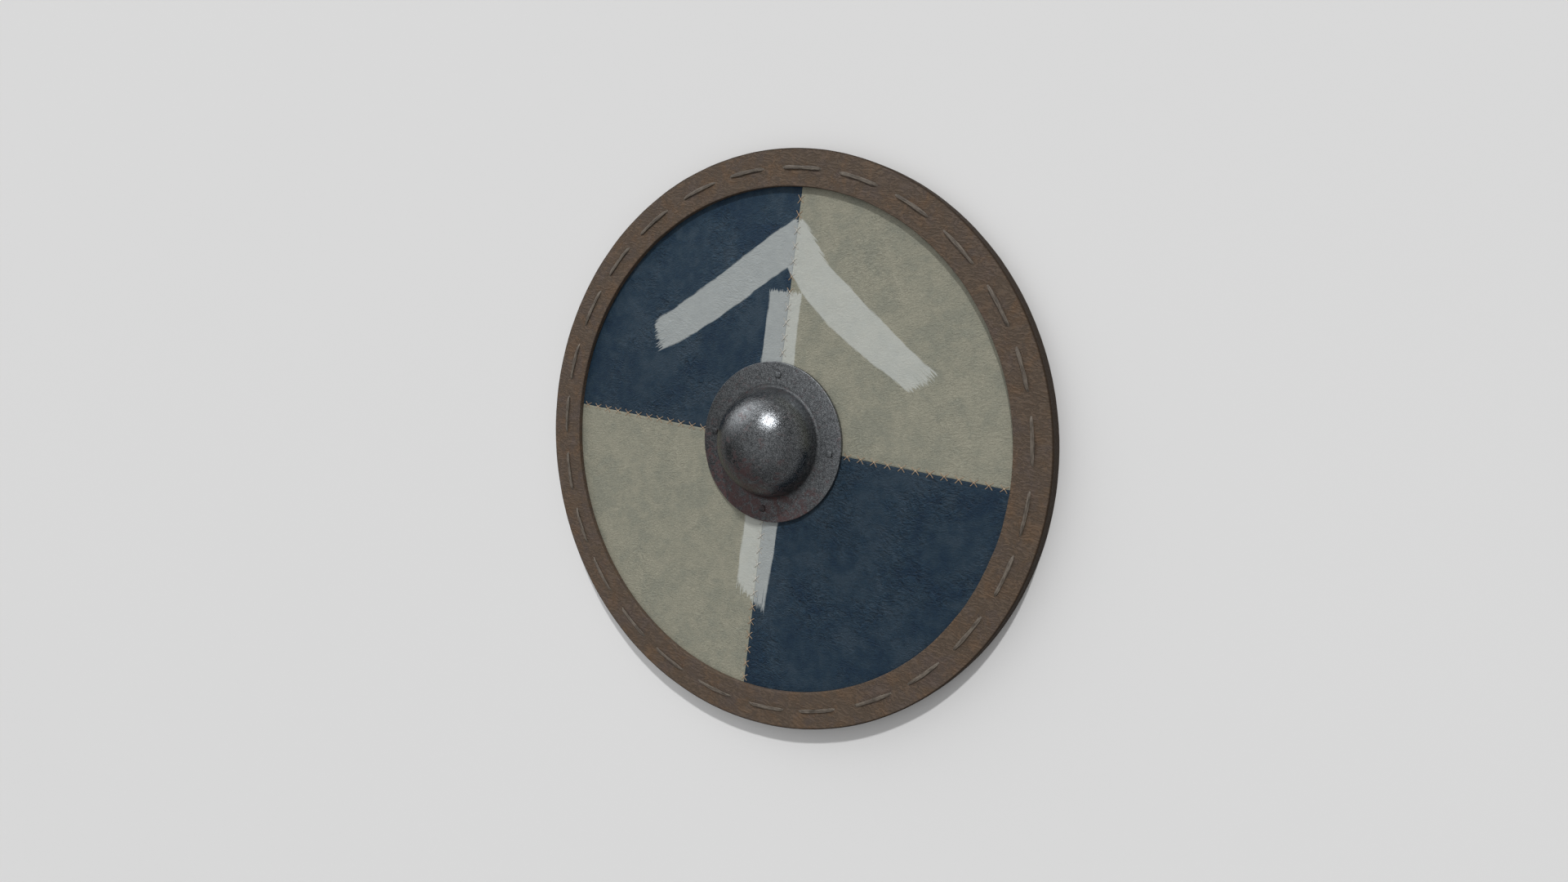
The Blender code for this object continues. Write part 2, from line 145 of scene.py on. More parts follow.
class Bench:
    """A node tree and the one method that adds its nodes."""

    def __init__(self, tree):
        self.tree = tree

    def node(self, kind, sockets=None, out=0, **settings):
        made = self.tree.nodes.new(kind)
        for key, value in settings.items():
            if key == "stops":
                self.set_stops(made.color_ramp, value)
            else:
                setattr(made, key, value)
        for key, value in (sockets or {}).items():
            if isinstance(value, Wire):
                self.tree.links.new(value.socket, made.inputs[key])
            else:
                made.inputs[key].default_value = value
        return Wire(self, made.outputs[out]) if len(made.outputs) else None

    def set_stops(self, ramp, stops):
        while len(ramp.elements) < len(stops):
            ramp.elements.new(1.0)
        for element, (place, colour) in zip(ramp.elements, stops):
            element.position = place
            element.color = (*colour, 1.0)

    def same_node(self, wire, out):
        """Another output of the node that a wire comes from."""
        return Wire(self, wire.socket.node.outputs[out])

    def vector(self, x=0.0, y=0.0, z=0.0):
        return self.node("ShaderNodeCombineXYZ", {0: x, 1: y, 2: z})


class Finish(Bench):
    """A material of its own nodes, with the few textures that the shield's finishes share."""

    def __init__(self, name):
        self.material = bpy.data.materials.new(name)
        self.material.use_nodes = True
        super().__init__(self.material.node_tree)
        self.tree.nodes.clear()
        self.place = self.node("ShaderNodeTexCoord", out="Object")
        self.x = self.node("ShaderNodeSeparateXYZ", {0: self.place}, out="X")
        self.y = self.same_node(self.x, "Y")
        self.z = self.same_node(self.x, "Z")

    def away(self, x=0.0, y=0.0):
        """Distance across the board from a place on it, at first its middle."""
        right, up = self.x - x, self.y - y
        return (right * right + up * up) ** 0.5

    def turned(self, degrees, scale):
        """Object coordinates turned about the shield's axis and then scaled."""
        sockets = {"Vector": self.place, "Rotation": (0.0, 0.0, math.radians(degrees))}
        swung = self.node("ShaderNodeMapping", sockets, vector_type="TEXTURE")
        return self.node("ShaderNodeVectorMath", {0: swung, 1: scale}, operation="MULTIPLY")

    def cloud(self, scale, detail=3.0, roughness=0.5, warp=0.0, where=None):
        """Noise about 0.5; its scale is in features for a metre."""
        sockets = {"Vector": where or self.place, "Scale": scale, "Detail": detail}
        sockets.update({"Roughness": roughness, "Distortion": warp})
        return self.node("ShaderNodeTexNoise", sockets)

    def shifted(self, where, push, amount):
        """Coordinates moved by a noise colour, so that straight streaks waver."""
        centred = self.node("ShaderNodeVectorMath", {0: push, 1: (0.5, 0.5, 0.5)}, operation="SUBTRACT")
        pushed = self.node("ShaderNodeVectorMath", {0: centred, "Scale": amount}, operation="SCALE")
        return self.node("ShaderNodeVectorMath", {0: where, 1: pushed}, operation="ADD")

    def mix(self, share, first, second, blend="MIX"):
        first, second = (v if isinstance(v, Wire) else (*v, 1.0) for v in (first, second))
        sockets = {0: share, 6: first, 7: second}
        return self.node("ShaderNodeMix", sockets, 2, data_type="RGBA", blend_type=blend, clamp_factor=True)

    def ramp(self, tone, *stops):
        """Colours by a tone; each stop is (tone, colour)."""
        return self.node("ShaderNodeValToRGB", {0: tone}, stops=stops)

    def shaded(self, colour, tone):
        """A colour made darker or lighter by a tone near 1."""
        return self.mix(1.0, colour, self.vector(tone, tone, tone), "MULTIPLY")

    def finished(self, colour, roughness, height=None, depth=0.0, metallic=0.0, gloss=0.5):
        """The whole material. Its bump's height runs from 0 to 1 over a depth in metres."""
        surface = {"Base Color": colour, "Roughness": roughness, "Metallic": metallic}
        surface["Specular IOR Level"] = gloss
        if height:
            sockets = {"Height": height, "Distance": depth, "Strength": 1.0}
            surface["Normal"] = self.node("ShaderNodeBump", sockets)
        shader = self.node("ShaderNodeBsdfPrincipled", surface)
        self.node("ShaderNodeOutputMaterial", {"Surface": shader})
        return self.material


def edge_curve(stroke, points):
    """Coefficients of the curve nearest to the points, by the stroke's own directions."""
    turn = math.radians(stroke["angle"])
    away = np.subtract(points, stroke["start"])
    along = away @ (math.cos(turn), math.sin(turn))
    across = away @ (-math.sin(turn), math.cos(turn))
    return [float(factor) for factor in np.polyfit(along, across, 3)]


# The painted arrow, in shares of the shield's radius. Each stroke runs at an angle from
# its start; its long edges follow the points given and its end is cut at a slant.
STROKES = {
    "left arm": {
        "start": (0.020, 0.700),
        "angle": 215.0,
        "left": ((0.000, 0.620), (-0.086, 0.554), (-0.299, 0.392), (-0.440, 0.301), (-0.530, 0.250)),
        "right": (
            *((-0.005, 0.775), (-0.190, 0.635), (-0.299, 0.547)),
            *((-0.400, 0.470), (-0.500, 0.405), (-0.567, 0.353)),
        ),
        "span": (-0.015, 0.695),
        "slant": 0.25,
    },
    "right arm": {
        "start": (-0.020, 0.700),
        "angle": 323.0,
        "left": (
            *((0.050, 0.690), (0.143, 0.619), (0.199, 0.579)),
            *((0.303, 0.503), (0.400, 0.433), (0.574, 0.324)),
        ),
        "pressed": 0.042,
        "right": ((-0.010, 0.590), (0.046, 0.524), (0.199, 0.406), (0.303, 0.343), (0.483, 0.250)),
        "span": (-0.015, 0.696),
        "slant": 0.20,
    },
    "shaft": {
        "start": (-0.018, 0.520),
        "angle": 270.0,
        "left": ((0.046, 0.520), (0.051, 0.278), (0.058, -0.289), (0.056, -0.456), (0.046, -0.590)),
        "right": ((-0.082, 0.520), (-0.079, 0.280), (-0.075, -0.282), (-0.078, -0.520)),
        "span": (0.000, 1.085),
        "slant": 0.55,
    },
}
STROKE_WAVE = 0.005
STROKE_SOFT = 0.005
BRISTLE_REACH = 0.030
PAINT = (0.59, 0.62, 0.60)
PAINT_COVER = 0.56


def stroke_mask(finish, stroke):
    """Where one brush stroke lies, with wavering sides and ends drawn out by the bristles."""
    turn = math.radians(stroke["angle"])
    x = finish.x / RADIUS - stroke["start"][0]
    y = finish.y / RADIUS - stroke["start"][1]
    along = x * math.cos(turn) + y * math.sin(turn)
    across = y * math.cos(turn) - x * math.sin(turn)
    lane = finish.vector(across * 45, along * 1.6, stroke["angle"])
    bristles = finish.cloud(1.0, 2.0, 0.6, where=lane) - 0.5
    hairs = finish.cloud(1.0, 2.0, 0.6, where=finish.vector(across * 210, along * 4.0, 0.0)) - 0.5
    sides = []
    for side, edge in ((1, stroke["left"]), (-1, stroke["right"])):
        twist, bend, slope, level = edge_curve(stroke, edge)
        reach = ((along * twist + bend) * along + slope) * along + level
        wave = (finish.cloud(26.0, 4.0, 0.6) - 0.5) * STROKE_WAVE * 4 + hairs * STROKE_WAVE * 2
        if side == 1 and "pressed" in stroke:
            # The brush is pressed wider where the stroke begins, and its bristles step in.
            spread = 1 - (along + hairs * 0.20).past(0.085, 0.150)
            wave = wave + spread * stroke["pressed"]
        sides.append(((reach - across) * side + wave).past(0.0, STROKE_SOFT))
    first, last = stroke["span"]
    ragged = bristles * BRISTLE_REACH * 1.5 + hairs * BRISTLE_REACH * 3.6
    begun = (along - first + ragged * 0.5).past(0.0, STROKE_SOFT)
    ended = (across * stroke["slant"] - along + last + ragged).past(0.0, STROKE_SOFT)
    # Towards its end the brush runs dry and leaves thin lanes bare.
    dry = (along - (last - 0.060)).past(0.030, 0.060) * (hairs + bristles * 0.3).past(0.08, 0.12)
    return sides[0] * sides[1] * begun * ended * (1 - dry * 0.6)


def paint_mask(finish):
    masks = [stroke_mask(finish, stroke) for stroke in STROKES.values()]
    return masks[0].most(masks[1]).most(masks[2])


def painted(finish, bare, cover=PAINT_COVER):
    """A colour with the arrow's thin paint over it, thicker and thinner by the brush's streaks."""
    body = finish.cloud(90.0, 4.0, 0.6)
    share = paint_mask(finish) * (cover + (body - 0.5) * 0.16)
    return finish.mix(share, bare, PAINT), share


def hide_grain(finish, turn, *sizes):
    """Heights of a hide's surface, coarse to fine, one for each (along, across) size in metres."""
    warp = finish.node("ShaderNodeTexNoise", {"Vector": finish.place, "Scale": 38.0}, out=1)
    heights = []
    for layer, (along, across) in enumerate(sizes):
        lanes = finish.turned(turn + 25 * layer, (1 / along, 1 / across, 1 / across))
        heights.append(finish.cloud(1.0, 2.0, 0.55, where=finish.shifted(lanes, warp, 5.0)))
    return heights


def leather(name, light, middle, dark, patch_size, wrinkled, painted_sheen_to_top, tones, gloss):
    """Thin suede-like leather: cloudy dye, wavering ripples and short fibres, under the paint."""
    finish = Finish(name)
    sizes = (0.0085, 0.0036), (0.0046, 0.0023), (0.0017, 0.0011)
    wrinkles, ripples, fibres = hide_grain(finish, -10, *sizes)
    patches = finish.cloud(1 / patch_size, 3.0, 0.55, 0.5)
    blotches = finish.cloud(75.0, 3.0, 0.6, 0.3)
    tone = patches * 0.62 + blotches * 0.38
    clouded = finish.ramp(tone, (0.40, dark), (0.50, middle), (0.60, light))
    # Wrinkles stand out where the hide is looser; elsewhere only its finer grain shows.
    loose = finish.cloud(13.0, 3.0, 0.6).past(0.54, 0.18) * wrinkled
    relief = (wrinkles - 0.5) * loose + (ripples - 0.5) * (loose * 0.5 + 0.34)
    # Painted sheen: the colour is made lighter towards the top of the shield, as light glancing off the
    # leather makes it there.
    painted_sheen = finish.y.most(0.0) * painted_sheen_to_top + 1.0
    grain = ((relief + (fibres - 0.5) * (loose * 0.5 + 0.6)) * tones + 1.0) * painted_sheen
    colour, share = painted(finish, finish.shaded(clouded, grain))
    height = (relief * 1.1 + (fibres - 0.5) * (loose * 0.3 + 0.3)) * (1 - share) + share * 0.08
    roughness = (fibres - 0.5) * 0.6 + 0.58 - share * 0.1
    return finish.finished(colour, roughness, height, 0.0015, gloss=gloss)


def rim_finish():
    """Thick brown leather, browner and greyer by patches, wrinkled finely across the rim."""
    finish = Finish("brown_rim_leather")
    ripples, fibres = hide_grain(finish, -6, (0.0078, 0.0027), (0.0020, 0.0013))
    reach = finish.away()
    warm = finish.cloud(36.0, 4.0, 0.7, 0.5)
    cool = finish.cloud(30.0, 4.0, 0.7, 0.4, where=finish.turned(90, (1.0, 1.0, 1.0)))
    brown = finish.mix(warm.past(0.57, 0.20) * 0.8, (0.097, 0.070, 0.050), (0.128, 0.080, 0.048))
    brown = finish.mix(cool.past(0.56, 0.16) * 0.6, brown, (0.092, 0.071, 0.062))
    # Thin dark creases where the ripples' height crosses its middle.
    crease = 1 - (ripples - 0.46).size().past(0.020, 0.034)
    tone = (ripples - 0.5) * 0.75 + (fibres - 0.5) * 0.6 - crease * 0.15 + 1.05
    brown = finish.shaded(brown, tone)
    # Painted shade: the outer wall is coloured darker, as a side turned away from the light.
    painted_wall_shade = reach.past(RADIUS - 0.0020, 0.0016) * 0.9
    brown = finish.mix(painted_wall_shade, brown, (0.022, 0.012, 0.005))
    roughness = (fibres - 0.5) * 0.5 + 0.62 + painted_wall_shade * 0.2
    height = ripples * 1.0 + fibres * 0.30 - crease * 0.20
    return finish.finished(brown, roughness, height, 0.0012, gloss=0.25)


def thong_finish():
    """A greyer, rubbed leather thong with grain along its length."""
    finish = Finish("grey_thong_leather")
    angle = finish.y.maths("ARCTAN2", finish.y, finish.x)
    reach = finish.away()
    lanes = finish.vector(angle * 26.0, reach * 1100.0, finish.z * 500.0)
    grain = finish.cloud(1.0, 3.0, 0.65, 0.5, where=lanes)
    wear = finish.cloud(130.0, 3.0, 0.5)
    greys = (0.38, (0.045, 0.035, 0.025)), (0.50, (0.122, 0.099, 0.078)), (0.60, (0.180, 0.152, 0.122))
    colour = finish.ramp(grain * 0.75 + wear * 0.25, *greys)
    return finish.finished(colour, (grain - 0.5) * 0.4 + 0.62, grain, 0.0009)


def thread_finish():
    """Waxed flax thread, tan and peach, painted over where the arrow crosses it."""
    finish = Finish("tan_seam_thread")
    twist = finish.cloud(1500.0, 2.0, 0.6)
    along = finish.cloud(160.0, 2.0, 0.5)
    flax = finish.mix(along.past(0.5, 0.35), (0.345, 0.235, 0.150), (0.44, 0.345, 0.245))
    flax = finish.shaded(flax, (twist - 0.5) * 0.9 + 1.0)
    colour = painted(finish, flax, 0.62)[0]
    return finish.finished(colour, (twist - 0.5) * 0.3 + 0.75, twist, 0.0003)


# The middle of the rusted patch low on the dome.
RUST_PATCH = (0.004, -0.034)


def iron_finish(name, rusty=1.0, dull=0.25, bright=0.95):
    """Dark forged iron, grainy all over, with red rust that gathers low on the boss."""
    finish = Finish(name)
    grit = finish.cloud(780.0, 3.0, 0.75)
    scale = finish.cloud(240.0, 4.0, 0.65)
    speck = grit * 0.75 + scale * 0.25
    greys = (0.40, (0.055, 0.058, 0.062)), (0.50, (0.115, 0.122, 0.128)), (0.60, (0.23, 0.24, 0.25))
    iron = finish.ramp(speck, *greys)
    # Painted light: the iron's colour is lighter towards the upper right and on the flange, where
    # reflections fall, and darker in the crease at the dome's foot, as painted shade; bright sets its
    # overall tone.
    reach = finish.away()
    flat = reach.past(DOME + 0.004, 0.004)
    foot = 1 - (reach - (DOME + 0.001)).size().past(0.0030, 0.0040)
    tone_and_painted_light = finish.y * 2.6 + finish.x * (7.0 - flat * 3.2) - foot * 0.42 + flat * 0.15 + bright
    iron = finish.shaded(iron, tone_and_painted_light)
    low = (finish.y * -1.0 - finish.x * 0.25).past(0.045, 0.09)
    flecks = finish.cloud(105.0, 5.0, 0.7, 0.8)
    patch = 1 - finish.away(*RUST_PATCH).past(0.016, 0.022)
    rust = (flecks + low * 0.18 + patch * 0.12).past(0.64, 0.16) * rusty
    iron = finish.mix(rust * 0.7, iron, (0.080, 0.027, 0.026))
    roughness = (speck - 0.5) * 0.8 + dull + flat * 0.14 + foot * 0.35 + rust * 0.2
    height = (grit * 0.6 + scale * 0.5) * (flat * 0.5 + 0.5)
    return finish.finished(iron, roughness, height, 0.00055, metallic=1.0 - rust * 0.6)


def wood_finish(name, light, dark, lengthways, joints=None):
    """Split timber: growth rings drawn out along the grain, fine pores, and boards that differ."""
    finish = Finish(name)
    along, across = (finish.y, finish.x) if lengthways == "y" else (finish.x, finish.y)
    shade = 0.0
    board = 0.0
    if joints:
        first, pitch = joints
        board = finish.x.maths("FLOOR", (finish.x - first) / pitch)
        shade = (finish.cloud(1.0, 0.0, where=finish.vector(board * 7.31, 0.5, 0.5)) - 0.5) * 1.6
    drift = finish.cloud(1.0, 2.0, 0.5, where=finish.vector(across * 9.0, along * 3.0, board * 3.7)) - 0.5
    ring_place = finish.vector((across + drift * 0.030) * 95.0, along * 2.6, finish.z * 60.0 + board * 5.3)
    rings = finish.cloud(1.0, 3.0, 0.55, 0.6, where=ring_place)
    pores = finish.cloud(1.0, 2.0, 0.6, where=finish.vector(across * 1500.0, along * 46.0, finish.z * 900.0))
    stain = finish.cloud(12.0, 4.0, 0.6)
    tone = (rings * 0.62 + pores * 0.22 + stain * 0.16 + shade * 0.08).held()
    middle = tuple((a + b) / 2 for a, b in zip(light, dark))
    colour = finish.ramp(tone, (0.34, dark), (0.50, middle), (0.66, light))
    roughness = (pores - 0.5) * 0.3 + 0.68
    return finish.finished(colour, roughness, rings * 0.5 + pores * 0.6, 0.00035, gloss=0.35)


# The light: a low sun beyond the shield's top, a sky brighter overhead and to the right, and
# one broad soft lamp in it, low at the upper left.
SUN_FROM = (0.150, 0.774, 0.616)
SUN_STRENGTH = 1.74
SUN_SPREAD = 2.8
SKY_LEVEL = 0.21
SKY_OVERHEAD = 0.54
SKY_SIDE = 0.10
LAMP_FROM = (-0.76, 0.63, 0.13)
LAMP_TIGHTNESS = 8.0
LAMP_STRENGTH = 4.0

EYE_PLACE = (0.7250, 0.1917, 1.2062)
EYE_AHEAD = (-0.5062, -0.1340, -0.8519)
EYE_UP = (-0.1705, 0.9839, -0.0534)
EYE_LENS = 24.444
FLOOR_HALF = 12.0


def floor_finish():
    """A plain pale studio floor."""
    finish = Finish("pale_floor")
    faint = (finish.cloud(1.2, 2.0) - 0.5) * 0.01 + 0.80
    return finish.finished(finish.vector(faint, faint, faint), 0.9)


def placed_object(name, data):
    obj = bpy.data.objects.new(name, data)
    bpy.context.scene.collection.objects.link(obj)
    return obj


def new_object(name, mesh, finish=None, sharp=None):
    """A smooth object with a finish; edges sharper than the angle stay sharp."""
    if finish:
        mesh.materials.append(finish)
    mesh.shade_smooth()
    if sharp:
        mesh.set_sharp_from_angle(angle=math.radians(sharp))
    return placed_object(name, mesh)


def reworked(mesh, change):
    """A mesh after a function has changed it as a bmesh."""
    bm = bmesh.new()
    bm.from_mesh(mesh)
    change(bm)
    bm.to_mesh(mesh)
    bm.free()
    return mesh


def mesh_of(name, verts, faces):
    """A mesh of points and faces, its doubles merged and its faces turned outwards."""

    def clean(bm):
        bmesh.ops.remove_doubles(bm, verts=bm.verts, dist=1e-7)
        bmesh.ops.recalc_face_normals(bm, faces=bm.faces)

    mesh = bpy.data.meshes.new(name)
    mesh.from_pydata([tuple(v) for v in verts], [], faces)
    return reworked(mesh, clean)


def grid_faces(rows, columns, first=0, wrap_rows=False, wrap_columns=False):
    """Quads over a grid of points that are numbered row by row."""
    faces = []
    for row in range(rows if wrap_rows else rows - 1):
        below = (row + 1) % rows
        for column in range(columns if wrap_columns else columns - 1):
            after = (column + 1) % columns
            corners = ((row, column), (row, after), (below, after), (below, column))
            faces.append([first + r * columns + c for r, c in corners])
    return faces


def arc(centre, radius, start, end, steps):
    """Points of a profile's arc, from start to end in degrees."""
    angles = np.radians(np.linspace(start, end, steps + 1))
    return [(centre[0] + radius * math.cos(a), centre[1] + radius * math.sin(a)) for a in angles]


def spaced(profile, longest):
    """The profile with points added where two are further apart than longest."""
    points = []
    for here, there in zip(profile, profile[1:] + profile[:1]):
        steps = max(1, math.ceil(math.dist(here, there) / longest))
        points += [tuple(np.add(here, np.subtract(there, here) * i / steps)) for i in range(steps)]
    return points


def wander(points, scale, seed):
    """Smooth noise from -1 to 1 at each point."""
    shift = Vector((seed * 3.1, seed * 1.7, seed * 2.3))
    values = [noise.noise(Vector(point) * scale + shift) for point in points.reshape(-1, 3)]
    return np.reshape(values, points.shape[:-1])


def gentle(value, start, end):
    share = np.clip((value - start) / (end - start), 0, 1)
    return share * share * (3 - 2 * share)


def revolved(profile, turns):
    """Radius, height and angle of the points of a profile that is carried round the axis."""
    angles = np.linspace(0, 2 * math.pi, turns, endpoint=False)
    radius, height = (np.repeat(column[:, None], turns, axis=1) for column in np.array(profile).T)
    return radius, height, np.repeat(angles[None, :], len(profile), axis=0)


def placed(radius, angle, height):
    return np.stack([radius * np.cos(angle), radius * np.sin(angle), height], -1)


def end_fans(rows, around):
    """Triangles from the first and last of the rows to two middle points numbered after them."""
    faces = []
    for step in range(around):
        after, last = (step + 1) % around, (rows - 1) * around
        faces.append([rows * around, after, step])
        faces.append([rows * around + 1, last + step, last + after])
    return faces


def lacing_stitches():
    """(middle, half length) of each front stitch as angles, from the top round, uneven as by hand."""
    made = []
    for index in range(STITCH_COUNT):
        wobble = 2.4 * index
        middle = math.pi / 2 + index * 2 * math.pi / STITCH_COUNT
        middle += 0.0022 * math.sin(wobble) / LACING_RADIUS
        length = 0.0560 + 0.0022 * math.cos(wobble)
        made.append((middle, length / 2 / LACING_RADIUS))
    return made


def baked(obj):
    """The object with its modifier applied."""
    graph = bpy.context.evaluated_depsgraph_get()
    plain = bpy.data.meshes.new_from_object(obj.evaluated_get(graph))
    obj.modifiers.clear()
    obj.data = plain
    return obj


def cut(piece, *cutters):
    """Cuts meshes out of a piece, one after another."""
    for cutter in cutters:
        modifier = piece.modifiers.new("cut", "BOOLEAN")
        modifier.operation = "DIFFERENCE"
        modifier.solver = "EXACT"
        modifier.object = cutter
        baked(piece)
    return piece


def columns(name, places, half_x, half_y):
    """Tall boxes to cut with; each place is (x, y, turn)."""
    size = Matrix.Diagonal((2 * half_x, 2 * half_y, CUTTER_HEIGHT, 1))

    def fill(bm):
        for x, y, turn in places:
            spot = Matrix.Translation((x, y, 0)) @ Matrix.Rotation(turn, 4, "Z")
            bmesh.ops.create_cube(bm, size=1.0, matrix=spot @ size)

    return new_object(name, reworked(bpy.data.meshes.new(name), fill))


def slot_places():
    ends = [middle + side * half for middle, half in lacing_stitches() for side in (-1, 1)]
    return [(LACING_RADIUS * math.cos(a), LACING_RADIUS * math.sin(a), a) for a in ends]


def nail_places():
    return [(0, NAIL_RADIUS, 0), (NAIL_RADIUS, 0, 0), (0, -NAIL_RADIUS, 0), (-NAIL_RADIUS, 0, 0)]


def rim_profile():
    """The rim's section as (radius, height), with a shallow groove behind for the thong."""
    inner, soft, edge = RIM_INNER, 0.0022, 0.0010
    groove_in, groove_out = LACING_RADIUS - GROOVE_HALF, LACING_RADIUS + GROOVE_HALF
    lip = RIM_FRONT - RIM_LEATHER
    corners = [
        *arc((inner + edge, edge), edge, 180, 270, 4),
        (groove_in, 0),
        (groove_in + 0.0004, GROOVE_DEPTH),
        (groove_out - 0.0004, GROOVE_DEPTH),
        (groove_out, 0),
        *arc((RADIUS - soft, soft), soft, -90, 0, 8),
        *arc((RADIUS - soft, RIM_FRONT - soft), soft, 0, 90, 8),
        *arc((inner + edge, RIM_FRONT - edge), edge, 90, 180, 4),
        (inner, lip),
        (EDGE_WALL, lip),
        (EDGE_WALL, RIM_LEATHER),
        (inner, RIM_LEATHER),
    ]
    return spaced(corners, 0.0026)


def build_rim(finish):
    """The leather folded over the edge: uneven by hand, and pressed in under the lacing."""
    turns = 640
    profile = rim_profile()
    radius, height, angle = revolved(profile, turns)
    even = placed(radius, angle, height)
    broad, fine = wander(even, 24.0, 1), wander(even, 90.0, 2)
    front = gentle(height, RIM_FRONT - 0.0020, RIM_FRONT - 0.0004)
    back = gentle(height, 0.0020, 0.0004)
    outside = gentle(radius, RADIUS - 0.0040, RADIUS - 0.0008)
    lip = gentle(radius, RIM_INNER + 0.0060, RIM_INNER + 0.0010)
    skin = (height > RIM_FRONT - RIM_LEATHER + 0.0005) | (height < RIM_LEATHER - 0.0005)
    dip = 0.00022 * (1 + broad) + 0.00010 * (1 + fine)
    for middle, half in lacing_stitches():
        off = (angle - middle + math.pi) % (2 * math.pi) - math.pi
        past_end = np.maximum(np.abs(off) - half, 0) * LACING_RADIUS
        beside = radius - LACING_RADIUS
        dip += 0.00030 * np.exp(-((past_end / 0.0030) ** 2) - (beside / 0.0034) ** 2)
        end = (np.abs(off) - half) * LACING_RADIUS
        dip += 0.00035 * np.exp(-((end / 0.0030) ** 2) - (beside / 0.0036) ** 2)
    height = height - front * dip + back * 0.00012 * (1 + fine)
    radius = radius - outside * (0.00022 * (1 + broad) + 0.00012 * (1 + fine))
    radius = radius + lip * skin * (0.00050 * broad + 0.00025 * fine)
    verts = placed(radius, angle, height).reshape(-1, 3)
    faces = grid_faces(len(profile), turns, wrap_rows=True, wrap_columns=True)
    return new_object("rim_leather", mesh_of("rim_leather", verts, faces), finish, 50)


def build_facing(name, side_x, side_y, finish, stitches_up, cutters):
    """A quarter of the leather face, rolled over and puckered along its two sewn edges."""
    rings, spokes = 170, 150
    share = np.linspace(0, 1, spokes)
    turn = (share - 0.78 * np.sin(2 * np.pi * share) / (2 * np.pi)) * np.pi / 2
    reach, turn = np.meshgrid(np.linspace(HAND_HOLE, BOARD_RADIUS, rings), turn, indexing="ij")
    x, y = reach * np.cos(turn), reach * np.sin(turn)

    def gap(distance, places):
        """Half the seam's opening: nothing at a stitch, open and ragged between two."""
        pitch = places[1] - places[0]
        beat = 0.5 - 0.5 * np.cos(2 * np.pi * (distance / RADIUS - places[0]) / pitch)
        lane = side_x * 7 + side_y * 3
        rag = [noise.noise(Vector((far * 1000 * 0.45, lane, 0.3))) for far in distance.ravel()]
        return 0.00004 + beat * 0.00007 + 0.00014 * np.abs(np.reshape(rag, distance.shape))

    level, upright = gap(x, LEVEL_STITCHES), gap(y, stitches_up)
    y = y + level * np.exp(-y / 0.0035)
    x = x + upright * np.exp(-x / 0.0035)
    within = np.minimum(1, BOARD_RADIUS / np.hypot(x, y))
    x, y = x * within, y * within
    spots = np.stack([x * side_x, y * side_y, x * 0], -1)
    free = gentle(reach, FLANGE + 0.0015, FLANGE + 0.016)
    free = free * gentle(reach, RIM_INNER - 0.001, RIM_INNER - 0.012)
    relief = free * 0.00022 * wander(spots, 28.0, 5) + free * 0.00010 * wander(spots, 110.0, 6)
    for off in (x, y):
        relief -= 0.00035 * np.exp(-((off / 0.0010) ** 2))
    for along, across, places in ((x, y, LEVEL_STITCHES), (y, x, stitches_up)):
        for place in places:
            for side in (-1, 1):
                away = (along - place * RADIUS - side * STITCH_ALONG) ** 2 + (across - STITCH_ACROSS) ** 2
                relief -= 0.00042 * np.exp(-away / 0.0019**2)
    top = np.stack([x * side_x, y * side_y, FACING_FRONT - 0.00005 + relief], -1)
    under = np.stack([x * side_x, y * side_y, np.full_like(x, FACING_BACK)], -1)
    count = rings * spokes
    faces = grid_faces(rings, spokes) + grid_faces(rings, spokes, first=count)
    number = np.arange(count).reshape(rings, spokes)
    border = number[0, :-1], number[:-1, -1], number[-1, :0:-1], number[:0:-1, 0]
    loop = np.concatenate(border).tolist()
    for here, there in zip(loop, loop[1:] + loop[:1]):
        faces.append([here, there, there + count, here + count])
    verts = np.concatenate([top, under]).reshape(-1, 3)
    return cut(new_object(name, mesh_of(name, verts, faces), finish, 60), *cutters)


def boss_profile():
    """The boss's outer and inner (radius, height) points, and the heights of its two tops."""
    ball = (DOME**2 + DOME_HEIGHT**2) / (2 * DOME_HEIGHT)
    centre = FLANGE_FRONT + DOME_HEIGHT - ball
    fillet_height = FLANGE_FRONT + DOME_FILLET
    fillet_radius = math.sqrt((ball + DOME_FILLET) ** 2 - (fillet_height - centre) ** 2)
    lean = math.degrees(math.atan2(fillet_height - centre, fillet_radius))
    hollow = ball - DOME_THICKNESS
    mouth = math.degrees(math.asin((FLANGE_BACK - centre) / hollow))
    edge = 0.0011
    outer = [
        *arc((0, centre), ball, 90, lean, 60)[1:],
        *arc((fillet_radius, fillet_height), DOME_FILLET, -180 + lean, -90, 8)[1:],
        *((DOME + past, FLANGE_FRONT) for past in (0.012, 0.018, 0.024)),
        *arc((FLANGE - edge, FLANGE_FRONT - edge), edge, 90, 0, 5),
        (FLANGE, FLANGE_BACK + 0.0006),
        (FLANGE - 0.0006, FLANGE_BACK),
    ]
    return outer, arc((0, centre), hollow, mouth, 90, 40)[:-1], (centre + ball, centre + hollow)


